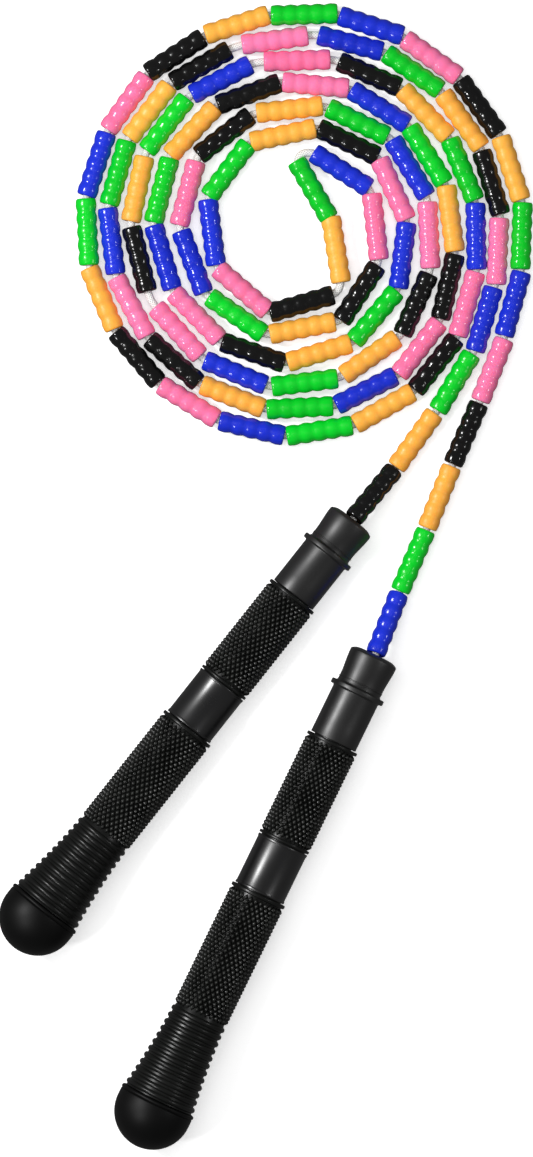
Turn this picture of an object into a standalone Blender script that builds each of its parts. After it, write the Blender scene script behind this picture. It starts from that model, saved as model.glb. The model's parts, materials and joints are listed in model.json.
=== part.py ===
"""A beaded jump rope: two long handles that swivel on the ends of a cord strung with beads.

The rope lies flat on the floor. Most of it is a round flat coil, and two free runs lead from the coil to
the handles. Metres, +Z up. The origin is on the floor, midway between the outer limits of the handles.
Sizes are written in millimetres. Along a handle, a station is the distance from the tip of its nose.
"""

import math

import bmesh
import bpy
from mathutils import Matrix, Vector

MM = 0.001
SEAM = 0.3  # gap between two pieces that touch
ROUND_SEGMENTS = 28  # sides of the handle's turned pieces
SMALL_SEGMENTS = 16  # sides of the beads and of the pieces inside the nose
COIL_SEGMENTS = 56
SHARP_EDGE = math.radians(35)

# Cord and beads
CORD_DIAMETER = 3.0
BEAD_LENGTH = 25.4
BEAD_DIAMETER = 8.0
BEAD_WAIST_DIAMETER = 7.1
BEAD_END_DIAMETER = 6.2  # flat ring at each end, inside the rounded rim
BEAD_BORE = 4.9
BEAD_LOBES = 5
FLOOR_GAP = 0.1  # the free beads lie this far above the floor

# Coil
COIL_ENTRY = Vector((101.29574, 174.55846))  # on the coil's outer side, between the two runs of cord
COIL_ENTRY_BEARING = math.radians(-42)  # of the entry, seen from the coil's centre
COIL_OUTER_RADIUS = 84.5
COIL_INNER_RADIUS = 12.0
COIL_EDGE_RADIUS = 2.0

# Handle, outside
NOSE_LENGTH = 13.8  # tip to the flange's front shoulder
NOSE_RADIUS = 9.5  # at its bulge
NOSE_ROUND_LENGTH = 2.2  # from the tip to the bulge
NOSE_FACE_RADIUS = 5.8  # flat ring at the tip, round the mouth
NOSE_MOUTH_RADIUS = 5.2
NOSE_MOUTH_DEPTH = 1.5
NOSE_NECK_RADIUS = 8.85
SHOULDER_FILLET = 0.75  # between the neck and the flange's shoulder
FLANGE_THICKNESS = 2.0
FLANGE_RADIUS = 10.85
COLLAR_LENGTH = 35.7  # tip to the seam with the grip
COLLAR_RADIUS = 9.35
UPPER_KNURL_LENGTH = 43.0
UPPER_KNURL_RADIUS = 10.4
BAND_LENGTH = 21.3
BAND_RADIUS = 10.2
BAND_WALL = 0.8
LOWER_RING_LENGTH = 1.4
LOWER_RING_RADIUS = 11.1
LOWER_KNURL_LENGTH = 49.9
LOWER_KNURL_RADIUS = 11.1
FLARE_LENGTH = 35.2
FLARE_END_RADIUS = 14.5
RIM_RADIUS = 15.0
RIM_WIDTH = 1.6
DOME_RADIUS = 14.8
DOME_NECK = 3.1  # straight part of the cap between its rim and its round end

# Handle, inside
GRIP_WALL = 1.1  # of the hollow grip, inside the band's recess
SPIGOT_LENGTH = 15.0
SPIGOT_WALL = 1.6
NOSE_WALL = 7.0  # from the tip to the cavity; the bushing passes through it
BUSHING_WALL = 1.5
BUSHING_CLEARANCE = 0.6  # between the bushing and the cord
BUSHING_HEAD_THICKNESS = 1.0
WASHER_THICKNESS = 1.5
WASHER_CLEARANCE = 0.4  # between the washer and the cord
CAVITY_CLEARANCE = 0.6  # round the washer, which turns in the collar's cavity
STOP_LENGTH = 8.0
STOP_INSET = 0.9  # the stop is this much smaller in radius than the washer

# Places. A heading is the way a handle points, from nose to pommel, anticlockwise from +X seen from above.
LEFT_NOSE = Vector((58.5, 116.7))
LEFT_HEADING = math.radians(231.6)
RIGHT_NOSE = Vector((67.15, 65.2))
RIGHT_HEADING = math.radians(244.0)

# Joints between the beads on each free run, from the nose towards the coil, in plan
LEFT_RUN = [(75.2, 136.9), (90.6, 158.3), (103.9, 180.3)]
RIGHT_RUN = [(76.8, 89.6), (87.2, 113.8), (96.9, 137.9), (107.4, 162.1), (117.0, 186.4), (122.9, 211.5)]
NOSE_LEAD = 0.6  # the cord leaves the nose straight for this far, and the first bead lies beyond it

TOWARDS_ENTRY = Vector((math.cos(COIL_ENTRY_BEARING), math.sin(COIL_ENTRY_BEARING)))
COIL_CENTRE = COIL_ENTRY - COIL_OUTER_RADIUS * TOWARDS_ENTRY
CORD_RADIUS = CORD_DIAMETER / 2
SHOULDER_RADIUS = NOSE_NECK_RADIUS + SHOULDER_FILLET
BEAD_RADIUS = BEAD_DIAMETER / 2
GRIP_START = COLLAR_LENGTH + SEAM
BAND_START = COLLAR_LENGTH + UPPER_KNURL_LENGTH
BAND_END = BAND_START + BAND_LENGTH
LOWER_KNURL_START = BAND_END + LOWER_RING_LENGTH
FLARE_START = LOWER_KNURL_START + LOWER_KNURL_LENGTH
GRIP_END = FLARE_START + FLARE_LENGTH
RIM_START = GRIP_END + SEAM
RIM_STATION = RIM_START + RIM_WIDTH / 2
RECESS_RADIUS = BAND_RADIUS - BAND_WALL - SEAM
GRIP_BORE_RADIUS = RECESS_RADIUS - GRIP_WALL
SPIGOT_RADIUS = GRIP_BORE_RADIUS - SEAM
CAVITY_RADIUS = SPIGOT_RADIUS - SPIGOT_WALL
BUSHING_BORE_RADIUS = CORD_RADIUS + BUSHING_CLEARANCE
BUSHING_RADIUS = BUSHING_BORE_RADIUS + BUSHING_WALL
BUSHING_START = NOSE_MOUTH_DEPTH + SEAM
HEAD_START = NOSE_WALL + SEAM
WASHER_START = HEAD_START + BUSHING_HEAD_THICKNESS + SEAM
WASHER_RADIUS = CAVITY_RADIUS - CAVITY_CLEARANCE
STOP_RADIUS = WASHER_RADIUS - STOP_INSET
STOP_START = WASHER_START + WASHER_THICKNESS + SEAM


def clear_scene():
    for obj in list(bpy.data.objects):
        bpy.data.objects.remove(obj, do_unlink=True)


def finish_of(name, colour, roughness, metallic=0.0):
    """A Principled material for one piece."""
    material = bpy.data.materials.new(name + "_finish")
    material.use_nodes = True
    shader = material.node_tree.nodes["Principled BSDF"]
    shader.inputs["Base Color"].default_value = (*colour, 1.0)
    shader.inputs["Roughness"].default_value = roughness
    shader.inputs["Metallic"].default_value = metallic
    return material


def add_piece(name, data, material, parent=None):
    obj = bpy.data.objects.new(name, data)
    bpy.context.scene.collection.objects.link(obj)
    data.materials.append(material)
    obj.parent = parent
    return obj


def turned(name, profile, segments, material, parent=None):
    """A piece turned about its local Z. The profile lists (station, radius) points once round its section;
    a section that reaches the axis starts and ends there."""
    shape = bmesh.new()
    points = [shape.verts.new((radius * MM, 0.0, station * MM)) for station, radius in profile]
    edges = [shape.edges.new(pair) for pair in zip(points, points[1:])]
    if profile[0][1] > 0:
        edges.append(shape.edges.new((points[-1], points[0])))
    bmesh.ops.spin(
        shape, geom=points + edges, cent=(0, 0, 0), axis=(0, 0, 1), angle=math.tau, steps=segments, use_merge=True
    )
    bmesh.ops.remove_doubles(shape, verts=shape.verts, dist=1e-6)
    bmesh.ops.recalc_face_normals(shape, faces=shape.faces)
    mesh = bpy.data.meshes.new(name)
    shape.to_mesh(mesh)
    shape.free()
    mesh.shade_smooth()
    mesh.set_sharp_from_angle(angle=SHARP_EDGE)
    return add_piece(name, mesh, material, parent)


def arc(station, radius, reach, start, end, steps):
    """Points of a round stretch of a profile, about (station, radius); angles in degrees from the station axis."""
    angles = [math.radians(start + (end - start) * k / steps) for k in range(steps + 1)]
    return [(station + reach * math.cos(a), radius + reach * math.sin(a)) for a in angles]


def handle_axis(name, nose, heading):
    """An empty at the nose's tip, its Z along the handle. The handle lies on its flange and its pommel rim."""
    tilt = math.atan2(RIM_RADIUS - FLANGE_RADIUS, RIM_STATION - NOSE_LENGTH)
    height = FLANGE_RADIUS * math.cos(tilt) - NOSE_LENGTH * math.sin(tilt)
    along = Vector((math.cos(tilt) * math.cos(heading), math.cos(tilt) * math.sin(heading), math.sin(tilt)))
    axis = bpy.data.objects.new(name, None)
    bpy.context.scene.collection.objects.link(axis)
    turn = Vector((0, 0, 1)).rotation_difference(along).to_matrix().to_4x4()
    axis.matrix_world = Matrix.Translation(Vector((nose.x, nose.y, height)) * MM) @ turn
    return axis


def nose_collar(side, axis):
    """Smooth moulded collar: nose, flange and neck, with a spigot that plugs into the grip."""
    flange_end = NOSE_LENGTH + FLANGE_THICKNESS
    spigot_end = COLLAR_LENGTH + SPIGOT_LENGTH
    seat_radius = BUSHING_RADIUS + SEAM
    round_steps = 4
    bulge = NOSE_RADIUS - NOSE_FACE_RADIUS
    profile = [(NOSE_MOUTH_DEPTH, seat_radius), (NOSE_MOUTH_DEPTH, NOSE_MOUTH_RADIUS), (0.0, NOSE_MOUTH_RADIUS)]
    for step in range(round_steps + 1):
        turn = math.pi / 2 * step / round_steps
        profile.append((NOSE_ROUND_LENGTH * (1 - math.cos(turn)), NOSE_FACE_RADIUS + bulge * math.sin(turn)))
    profile += arc(NOSE_LENGTH - SHOULDER_FILLET, SHOULDER_RADIUS, SHOULDER_FILLET, 270, 360, 3)
    profile += [
        (NOSE_LENGTH, FLANGE_RADIUS),
        (flange_end, FLANGE_RADIUS),
        (flange_end + 0.6, COLLAR_RADIUS),
        (COLLAR_LENGTH, COLLAR_RADIUS),
        (COLLAR_LENGTH, SPIGOT_RADIUS),
        (spigot_end, SPIGOT_RADIUS),
        (spigot_end, CAVITY_RADIUS),
        (NOSE_WALL, CAVITY_RADIUS),
        (NOSE_WALL, seat_radius),
    ]
    material = finish_of(side + "_nose_collar", (0.014, 0.014, 0.015), 0.38)
    return turned(side + "_nose_collar", profile, ROUND_SEGMENTS, material, axis)


def flare_radius(share):
    """The ribbed end of the grip widens slowly at first, then faster towards the pommel."""
    return LOWER_KNURL_RADIUS + (FLARE_END_RADIUS - LOWER_KNURL_RADIUS) * share**1.6


def grip_shell(side, axis):
    """Hollow moulded grip: knurled zones either side of a recess for the band, and a ribbed flare."""
    flare_steps = 8
    profile = [
        (GRIP_START, GRIP_BORE_RADIUS),
        (GRIP_START, UPPER_KNURL_RADIUS),
        (BAND_START, UPPER_KNURL_RADIUS),
        (BAND_START, RECESS_RADIUS),
        (BAND_END, RECESS_RADIUS),
        (BAND_END, LOWER_RING_RADIUS),
        (LOWER_KNURL_START, LOWER_RING_RADIUS),
    ]
    for step in range(flare_steps + 1):
        share = step / flare_steps
        profile.append((FLARE_START + share * FLARE_LENGTH, flare_radius(share)))
    profile.append((GRIP_END, GRIP_BORE_RADIUS))
    material = finish_of(side + "_grip_shell", (0.012, 0.012, 0.012), 0.45)
    return turned(side + "_grip_shell", profile, ROUND_SEGMENTS, material, axis)


def sleeve(start, end, radius, inner):
    """A plain sleeve's section."""
    return [(start, inner), (start, radius), (end, radius), (end, inner)]


def smooth_band(side, axis):
    """Thin glossy sleeve seated in the grip's recess."""
    profile = sleeve(BAND_START + SEAM, BAND_END - SEAM, BAND_RADIUS, BAND_RADIUS - BAND_WALL)
    material = finish_of(side + "_smooth_band", (0.010, 0.010, 0.011), 0.12)
    return turned(side + "_smooth_band", profile, ROUND_SEGMENTS, material, axis)


def pommel_cap(side, axis):
    """Domed rubbery end cap with a rolled rim and a hollow plug."""
    plug_start = GRIP_END - SPIGOT_LENGTH
    dome_centre = RIM_START + RIM_WIDTH + DOME_NECK
    plug_depth = dome_centre + DOME_RADIUS / 2
    profile = [(plug_depth, 0.0), (plug_depth, CAVITY_RADIUS), (plug_start, CAVITY_RADIUS)]
    profile += [(plug_start, SPIGOT_RADIUS), (RIM_START, SPIGOT_RADIUS)]
    profile += [(RIM_START, RIM_RADIUS - RIM_WIDTH / 2)]
    profile += arc(RIM_STATION, RIM_RADIUS - RIM_WIDTH / 2, RIM_WIDTH / 2, 150, 30, 4)
    profile += [(RIM_START + RIM_WIDTH, DOME_RADIUS)]
    profile += arc(dome_centre, 0.0, DOME_RADIUS, 90, 0, 8)[:-1]
    profile += [(dome_centre + DOME_RADIUS, 0.0)]
    material = finish_of(side + "_pommel_cap", (0.008, 0.008, 0.008), 0.6)
    return turned(side + "_pommel_cap", profile, ROUND_SEGMENTS, material, axis)


def cord_bushing(side, axis):
    """Flanged eyelet in the nose, in which the cord turns."""
    head_end = HEAD_START + BUSHING_HEAD_THICKNESS
    profile = [
        (BUSHING_START, BUSHING_BORE_RADIUS),
        (BUSHING_START, BUSHING_RADIUS),
        (HEAD_START, BUSHING_RADIUS),
        (HEAD_START, WASHER_RADIUS),
        (head_end, WASHER_RADIUS),
        (head_end, BUSHING_BORE_RADIUS),
    ]
    material = finish_of(side + "_cord_bushing", (0.55, 0.56, 0.58), 0.3, 1.0)
    return turned(side + "_cord_bushing", profile, SMALL_SEGMENTS, material, axis)


def stop_washer(side, axis):
    """Washer that the cord stop pulls against."""
    hole = CORD_RADIUS + WASHER_CLEARANCE
    profile = sleeve(WASHER_START, WASHER_START + WASHER_THICKNESS, WASHER_RADIUS, hole)
    material = finish_of(side + "_stop_washer", (0.6, 0.6, 0.62), 0.3, 1.0)
    return turned(side + "_stop_washer", profile, SMALL_SEGMENTS, material, axis)


def cord_stop(side, axis):
    """The tight knot at the cord's end, as a rounded solid."""
    middle = STOP_START + STOP_LENGTH / 2
    steps = 8
    profile = []
    for step in range(steps + 1):
        angle = math.pi * (1 - step / steps)
        profile.append((middle + STOP_LENGTH / 2 * math.cos(angle), STOP_RADIUS * math.sin(angle)))
    profile[0] = (STOP_START, 0.0)
    profile[-1] = (STOP_START + STOP_LENGTH, 0.0)
    material = finish_of(side + "_cord_stop", (0.8, 0.8, 0.8), 0.6)
    return turned(side + "_cord_stop", profile, SMALL_SEGMENTS, material, axis)


def run_points(axis, joints):
    """The free run's own points: straight out of the nose along its axis, then the joints on the floor."""
    tip, along = axis.matrix_world.translation / MM, axis.matrix_world.to_3x3().col[2]
    inside = STOP_START - SEAM
    stations = (inside, inside / 2, 0.0, -NOSE_LEAD)
    height = BEAD_RADIUS + FLOOR_GAP
    return [tip + along * s for s in stations] + [Vector((x, y, height)) for x, y in joints]


def smooth_curve(points, spacing):
    """Samples of a smooth curve through the points, its tangents set by its neighbours' distances."""
    tangents = []
    for k in range(len(points)):
        before, after = points[max(k - 1, 0)], points[min(k + 1, len(points) - 1)]
        back, ahead = (points[k] - before).length, (after - points[k]).length
        if back == 0 or ahead == 0:
            tangents.append((after - before).normalized())
            continue
        slope = (points[k] - before) / back * ahead + (after - points[k]) / ahead * back
        tangents.append(slope.normalized())
    samples = [points[0]]
    for k in range(len(points) - 1):
        start, end = points[k], points[k + 1]
        reach = (end - start).length
        steps = max(1, round(reach / spacing))
        for step in range(1, steps + 1):
            t = step / steps
            from_start = start * (2 * t**3 - 3 * t**2 + 1) + tangents[k] * reach * (t**3 - 2 * t**2 + t)
            from_end = end * (3 * t**2 - 2 * t**3) + tangents[k + 1] * reach * (t**3 - t**2)
            samples.append(from_start + from_end)
    return samples


def cord_run(side, axis, joints):
    """The cord from its stop inside the nose to where it lies against the coil's outer side."""
    samples = smooth_curve(run_points(axis, joints), 2.5 * CORD_DIAMETER)
    beside_coil = COIL_OUTER_RADIUS + CORD_RADIUS + SEAM
    kept = [p for p in samples if (p.xy - COIL_CENTRE).length > beside_coil]
    curve = bpy.data.curves.new(side + "_cord_run", "CURVE")
    curve.dimensions = "3D"
    curve.bevel_depth = CORD_RADIUS * MM
    curve.bevel_resolution = 2
    curve.use_fill_caps = True
    spline = curve.splines.new("POLY")
    spline.points.add(len(kept) - 1)
    for point, place in zip(spline.points, kept):
        point.co = (*(place * MM), 1.0)
    material = finish_of(side + "_cord_run", (0.8, 0.8, 0.8), 0.6)
    return add_piece(side + "_cord_run", curve, material)


def bead_profile():
    """Section of a moulded bead: five rounded lobes with waists between, rounded rims and a plain bore."""
    steps_per_lobe = 2
    half = BEAD_LENGTH / 2
    lobe = BEAD_LENGTH / BEAD_LOBES
    swell = (BEAD_DIAMETER - BEAD_WAIST_DIAMETER) / 4
    middle = (BEAD_DIAMETER + BEAD_WAIST_DIAMETER) / 4
    profile = [(-half, BEAD_BORE / 2), (-half, BEAD_END_DIAMETER / 2)]
    for step in range(1, BEAD_LOBES * steps_per_lobe):
        station = -half + step * lobe / steps_per_lobe
        profile.append((station, middle + swell * math.cos(math.tau * (station + half - lobe / 2) / lobe)))
    profile += [(half, BEAD_END_DIAMETER / 2), (half, BEAD_BORE / 2)]
    return profile


BEAD_COLOURS = {
    "blue": (0.02, 0.04, 0.70),
    "green": (0.0, 0.60, 0.03),
    "orange": (1.0, 0.42, 0.05),
    "black": (0.010, 0.010, 0.010),
    "pink": (0.95, 0.18, 0.40),
}


def bead(name, start, end, colour):
    """A bead midway between two joints, with its origin and its Z on the cord."""
    obj = turned(name, bead_profile(), SMALL_SEGMENTS, finish_of(name, BEAD_COLOURS[colour], 0.25))
    turn = Vector((0, 0, 1)).rotation_difference(end - start).to_matrix().to_4x4()
    obj.matrix_world = Matrix.Translation((start + end) / 2 * MM) @ turn
    return obj


def beads_on_run(side, axis, joints, colours):
    """One bead between each two joints, the first between the end of the nose lead and the first joint."""
    points = run_points(axis, joints)[3:]
    for number, colour in enumerate(colours, start=1):
        bead(f"{side}_bead_{number}", points[number - 1], points[number], colour)


def rope_coil():
    """The outer shape of the coiled rope, one bead thick, as a turned ring lying on the floor."""
    edge = COIL_EDGE_RADIUS
    section = []
    corners = [
        (edge, COIL_INNER_RADIUS + edge, 180, 270),
        (BEAD_DIAMETER - edge, COIL_INNER_RADIUS + edge, 270, 360),
        (BEAD_DIAMETER - edge, COIL_OUTER_RADIUS - edge, 0, 90),
        (edge, COIL_OUTER_RADIUS - edge, 90, 180),
    ]
    for station, radius, start, end in corners:
        section += arc(station, radius, edge, start, end, 3)
    coil = turned("rope_coil", section, COIL_SEGMENTS, finish_of("rope_coil", (0.5, 0.3, 0.3), 0.35))
    coil.location = (COIL_CENTRE.x * MM, COIL_CENTRE.y * MM, 0.0)
    return coil


def handle(side, nose, heading):
    axis = handle_axis(side + "_handle_axis", nose, heading)
    for make in (nose_collar, grip_shell, smooth_band, pommel_cap, cord_bushing, stop_washer, cord_stop):
        make(side, axis)
    return axis


clear_scene()
left_axis = handle("left", LEFT_NOSE, LEFT_HEADING)
right_axis = handle("right", RIGHT_NOSE, RIGHT_HEADING)
rope_coil()
cord_run("left", left_axis, LEFT_RUN)
cord_run("right", right_axis, RIGHT_RUN)
beads_on_run("left", left_axis, LEFT_RUN, ["black", "orange"])
beads_on_run("right", right_axis, RIGHT_RUN, ["blue", "green", "orange", "black", "pink"])
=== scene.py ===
"""A beaded jump rope lying flat: two long black handles, and a white cord strung with coloured beads that
lies in a round coil. Objects are in metres; sizes and places are written in millimetres, times MM.
"""

import json
import math

import bmesh
import bpy
import numpy as np
from mathutils import Matrix, Vector


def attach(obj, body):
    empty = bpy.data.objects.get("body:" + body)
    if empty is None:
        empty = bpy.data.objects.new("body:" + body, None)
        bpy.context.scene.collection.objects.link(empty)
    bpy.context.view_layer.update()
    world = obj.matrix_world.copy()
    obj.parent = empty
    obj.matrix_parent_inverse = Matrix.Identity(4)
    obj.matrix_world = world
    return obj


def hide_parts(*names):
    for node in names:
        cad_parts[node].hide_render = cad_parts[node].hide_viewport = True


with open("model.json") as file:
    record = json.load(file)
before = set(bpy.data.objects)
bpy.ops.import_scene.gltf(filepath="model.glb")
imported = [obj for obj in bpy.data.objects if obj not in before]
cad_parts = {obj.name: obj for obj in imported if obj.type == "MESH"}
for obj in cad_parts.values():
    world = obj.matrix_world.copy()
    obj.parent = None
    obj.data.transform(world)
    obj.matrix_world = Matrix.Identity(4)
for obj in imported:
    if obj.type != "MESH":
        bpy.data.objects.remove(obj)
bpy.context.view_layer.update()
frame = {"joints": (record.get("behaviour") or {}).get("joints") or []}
MM = 0.001

# ---------------------------------------------------------------------------------------------------------
# The table and the studio. A sheet of white paper lies under the rope, lit until it is nearly pure white.
# Two small window-like lamps on the left and a weak one on the right put small highlights on every bead, and
# a broad lamp overhead, kept out of the reflections, lights the rest.


def linear(hex_code):
    """An sRGB colour such as "#2f45e9" as a linear RGBA colour."""
    parts = [int(hex_code[k : k + 2], 16) / 255 for k in (1, 3, 5)]
    return (*[c / 12.92 if c <= 0.04045 else ((c + 0.055) / 1.055) ** 2.4 for c in parts], 1.0)


def add_node(tree, kind, inputs=None, **settings):
    """Adds a node. Each input is a value, or the output socket of another node that feeds it."""
    node = tree.nodes.new(kind)
    for name, value in settings.items():
        setattr(node, name, value)
    for socket, value in (inputs or {}).items():
        if isinstance(value, bpy.types.NodeSocket):
            tree.links.new(value, node.inputs[socket])
        else:
            node.inputs[socket].default_value = value
    return node


def add_object(name, data):
    obj = bpy.data.objects.new(name, data)
    bpy.context.scene.collection.objects.link(obj)
    return obj


def new_material(name, colour, roughness, **more):
    """A Principled material with its plain values on the shader's own sockets."""
    material = bpy.data.materials.new(name)
    material.use_nodes = True
    shader = material.node_tree.nodes["Principled BSDF"]
    shader.inputs["Base Color"].default_value = linear(colour)
    shader.inputs["Roughness"].default_value = roughness
    for socket, value in more.items():
        shader.inputs[socket.replace("_", " ")].default_value = value
    return material, material.node_tree, shader


VIEW_CENTRE = Vector((26.2, 94.9))
VIEW_HEIGHT = 439.7
VIEW_PLANE = 9.0  # the height above the floor at which the view is that tall
CAMERA_LENS = 200.0
SENSOR = 36.0
FLOOR_REACH = 6  # metres each way

# Matt white paper, which glows a little so that it stays white where the lamps leave it dim
paper, _, _ = new_material(
    "white_paper",
    "#f4f4f4",
    0.9,
    Specular_IOR_Level=0.1,
    Emission_Color=linear("#ffffff"),
    Emission_Strength=0.5,
)
floor_mesh = bpy.data.meshes.new("floor")
corners = [(FLOOR_REACH * x, FLOOR_REACH * y, 0) for x, y in ((-1, -1), (1, -1), (1, 1), (-1, 1))]
floor_mesh.from_pydata(corners, [], [(0, 1, 2, 3)])
floor_mesh.materials.append(paper)
floor = add_object("floor", floor_mesh)
# The paper throws no light back on the rope and isn't mirrored in it, so rims and undersides stay dark
floor.visible_glossy = False
floor.visible_diffuse = False

camera_data = bpy.data.cameras.new("camera")
camera_data.lens = CAMERA_LENS
camera_data.sensor_width = SENSOR
camera = add_object("camera", camera_data)
camera_height = VIEW_HEIGHT * CAMERA_LENS / SENSOR + VIEW_PLANE
camera.location = Vector((*VIEW_CENTRE, camera_height)) * MM
bpy.context.scene.camera = camera

# Name, bearing from +X seen from above and angle above the floor in degrees; distance, width and height in
# metres; power in watts
LAMPS = [
    ("left_window", 160, 44, 1.3, 0.16, 0.22, 10),
    ("front_window", 205, 48, 1.3, 0.1, 0.12, 3.5),
    ("right_window", -6, 42, 1.3, 0.12, 0.14, 1.6),
    ("top_light", 110, 78, 1.7, 1.3, 1.3, 14),
]
for name, bearing, rise, distance, width, height, power in LAMPS:
    lamp = bpy.data.lights.new(name, "AREA")
    lamp.shape = "RECTANGLE"
    lamp.size = width
    lamp.size_y = height
    lamp.energy = power
    stand = add_object(name, lamp)
    stand.visible_glossy = name != "top_light"
    away = Vector((
        math.cos(math.radians(bearing)) * math.cos(math.radians(rise)),
        math.sin(math.radians(bearing)) * math.cos(math.radians(rise)),
        math.sin(math.radians(rise)),
    ))
    stand.location = Vector((*VIEW_CENTRE, 0)) * MM + away * distance
    stand.rotation_euler = away.to_track_quat("Z", "Y").to_euler()

world = bpy.data.worlds.new("studio")
world.use_nodes = True
world.node_tree.nodes["Background"].inputs["Color"].default_value = linear("#ffffff")
world.node_tree.nodes["Background"].inputs["Strength"].default_value = 0.14
bpy.context.scene.world = world
bpy.context.scene.view_settings.view_transform = "Standard"

# ---------------------------------------------------------------------------------------------------------
# The cord: 3 mm braided white polypropylene, threaded through 94 stiff beads, both ends knotted inside the
# noses. The beads keep it from bending except in the short gaps between them, so its route is the route of
# the beads: two strands wind inwards side by side and meet in a fold in the middle of the coil.
CORD_DIAMETER = 3.0
BEAD_LENGTH = 25.4
BEAD_RADIUS = 4.0
BEAD_COUNT = 94
LYING_HEIGHT = BEAD_RADIUS + 0.1
COIL_MIDDLE = np.array((38.9, 230.7))
TURN_STEP = 45  # degrees between the radii of a strand's turns

# Where the two strands lie: the joints of the free runs, the radii of the turns round the coil's middle, and
# the ways into the fold. A scratch script fitted them to bead centres picked by eye, and a few were then
# moved by hand.
RIGHT_RUN = [(107.4, 162.1), (117.0, 186.4), (122.9, 211.5)]
LEFT_RUN = [(90.6, 158.3), (103.9, 180.3)]
RIGHT_TURNS = [85.2, 81.1, 80.3, 80.4, 82.4, 81.8, 81.7, 76.2, 68.1, 64.1, 62.9, 64.0, 64.7, 64.4, 62.7, 57.0,
               51.2, 47.5, 45.9, 45.5, 45.5, 45.2, 43.5, 36.4, 31.0]
LEFT_TURNS = [76.6, 72.9, 71.0, 72.1, 73.5, 72.5, 72.3, 67.4, 59.6, 55.4, 54.6, 55.0, 55.8, 54.3, 53.3, 47.0,
              40.8, 38.2, 37.1, 36.0, 36.1, 36.7]
RIGHT_FOLD = [(64.3, 245.8), (41.0, 257.7), (35.0, 259.0)]
LEFT_FOLD = [(28.5, 195.6), (51.2, 204.1), (66.0, 210.0)]
FOLD_BEADS = {52: [(37.4, 253.3), (50.0, 231.5)], 53: [(50.3, 230.9), (56.4, 206.3)]}
SLACK = {6: 0.84, 31: 2.1, 54: 0.95, 75: 1.12}  # usual gap, from this bead to the next entry
WIDE_GAPS = {29: 3.2, 30: 5.0, 34: 6.5, 84: 4.8, 85: 3.8}  # gap after this bead
ROUTE_SPACING = 0.1
HOLD = 0.05  # how strongly a bead keeps its place while its neighbours push it, as its cord holds it
SETTLE_ROUNDS = 60
CLEARANCE = 0.1  # between the middles of two beads side by side, on top of their diameter


def curve_through(points, spacing):
    """Samples of a smooth curve through the points, its tangents set by its neighbours' distances."""
    points = [np.array(p, float) for p in points]
    tangents = []
    for k, here in enumerate(points):
        before, after = points[max(k - 1, 0)], points[min(k + 1, len(points) - 1)]
        back, ahead = np.linalg.norm(here - before), np.linalg.norm(after - here)
        slope = after - before
        if back and ahead:
            slope = (here - before) / back * ahead + (after - here) / ahead * back
        tangents.append(slope / np.linalg.norm(slope))
    samples = [points[0]]
    for start, end, leave, arrive in zip(points, points[1:], tangents, tangents[1:]):
        reach = np.linalg.norm(end - start)
        steps = max(1, round(reach / spacing))
        for step in range(1, steps + 1):
            t = step / steps
            samples.append(
                start * (2 * t**3 - 3 * t**2 + 1) + leave * reach * (t**3 - 2 * t**2 + t)
                + end * (3 * t**2 - 2 * t**3) + arrive * reach * (t**3 - t**2)
            )
    return np.array(samples)


def strand_route(run, turns, fold):
    """A strand's route: its free run, its turns round the coil, and its way into the fold."""
    spiral = []
    for step, radius in enumerate(turns):
        angle = math.radians(TURN_STEP * step)
        spiral.append(COIL_MIDDLE + radius * np.array((math.cos(angle), math.sin(angle))))
    return curve_through(run + spiral + fold, ROUTE_SPACING)


def usual_gap(number):
    return SLACK[max(first for first in SLACK if first <= number)]


def thread(route, start, numbers):
    """Lays beads along a route, as straight pieces with both ends on it. A gap follows each bead."""
    beads = {}
    outward = numbers[0] > numbers[-1]
    at = int(np.argmin(np.linalg.norm(route - start, axis=1)))
    for number in numbers:
        reach = np.linalg.norm(route[at:] - route[at], axis=1)
        end = at + int(np.argmax(reach >= BEAD_LENGTH))
        beads[number] = (route[at], route[end])
        gap = WIDE_GAPS.get(number - 1 if outward else number, usual_gap(number))
        travelled = np.cumsum(np.linalg.norm(np.diff(route[end:], axis=0), axis=1))
        at = end + 1 + int(np.argmax(travelled >= gap))
    return beads


def free_bead(side, number):
    """The two ends of a bead of the free runs, from the joint it spins on."""
    joint = next(j for j in frame["joints"] if j["name"] == f"{side}_bead_{number}_spin")
    middle, axis = np.array(joint["pos_m"]) / MM, np.array(joint["axis"])
    return middle - axis * BEAD_LENGTH / 2, middle + axis * BEAD_LENGTH / 2


route_right = strand_route(RIGHT_RUN, RIGHT_TURNS, RIGHT_FOLD)
route_left = strand_route(LEFT_RUN, LEFT_TURNS, LEFT_FOLD)
beads = {number: free_bead("right", number) for number in range(1, 6)}
beads.update({BEAD_COUNT + 1 - number: free_bead("left", number)[::-1] for number in (1, 2)})
start_right = beads[5][1][:2] + (beads[5][1] - beads[5][0])[:2] / BEAD_LENGTH * usual_gap(6)
start_left = beads[93][0][:2] + (beads[93][0] - beads[93][1])[:2] / BEAD_LENGTH * usual_gap(92)
coiled = thread(route_right, start_right, range(6, 52))
left_strand = thread(route_left, start_left, range(92, 53, -1))
coiled.update({number: ends[::-1] for number, ends in left_strand.items()})
coiled.update(FOLD_BEADS)
for number, ends in coiled.items():
    beads[number] = tuple(np.array((*end[:2], LYING_HEIGHT)) for end in ends)


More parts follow.
